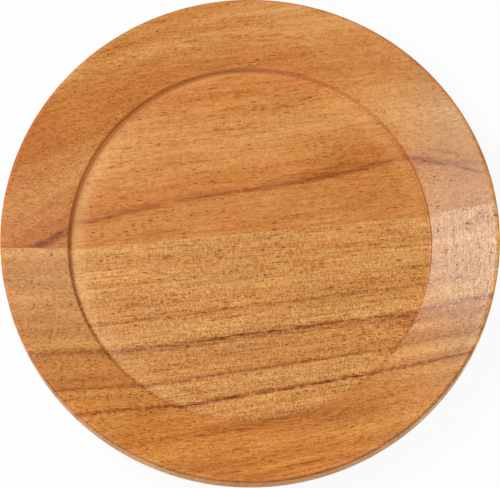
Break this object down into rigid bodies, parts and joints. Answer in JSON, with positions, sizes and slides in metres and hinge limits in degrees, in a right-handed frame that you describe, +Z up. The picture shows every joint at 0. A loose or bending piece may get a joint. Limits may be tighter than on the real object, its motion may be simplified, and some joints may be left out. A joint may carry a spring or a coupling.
{
  "type": "wooden plate",
  "caption": "Round wooden plate with a flat recessed well and a broad, gently rising rim, turned from edge-glued boards.",
  "frame": {"origin": "on the turning axis, in the plane of the flat base", "axes": "+Z up, out of the well; X along the grain and the glue seam; +Y towards the back board"},
  "size_m": [0.254, 0.254, 0.0243],
  "materials": {
    "back_wood": "oiled hardwood, reddish brown, fine plain grain, satin",
    "front_wood": "oiled hardwood, golden brown, streaked grain with ray fleck, satin",
    "glue": "dried wood glue, brown and faintly translucent"
  },
  "bodies": {
    "root": {"back_board": "back_wood", "front_board": "front_wood", "glue_seam": "glue"}
  },
  "joints": []
}
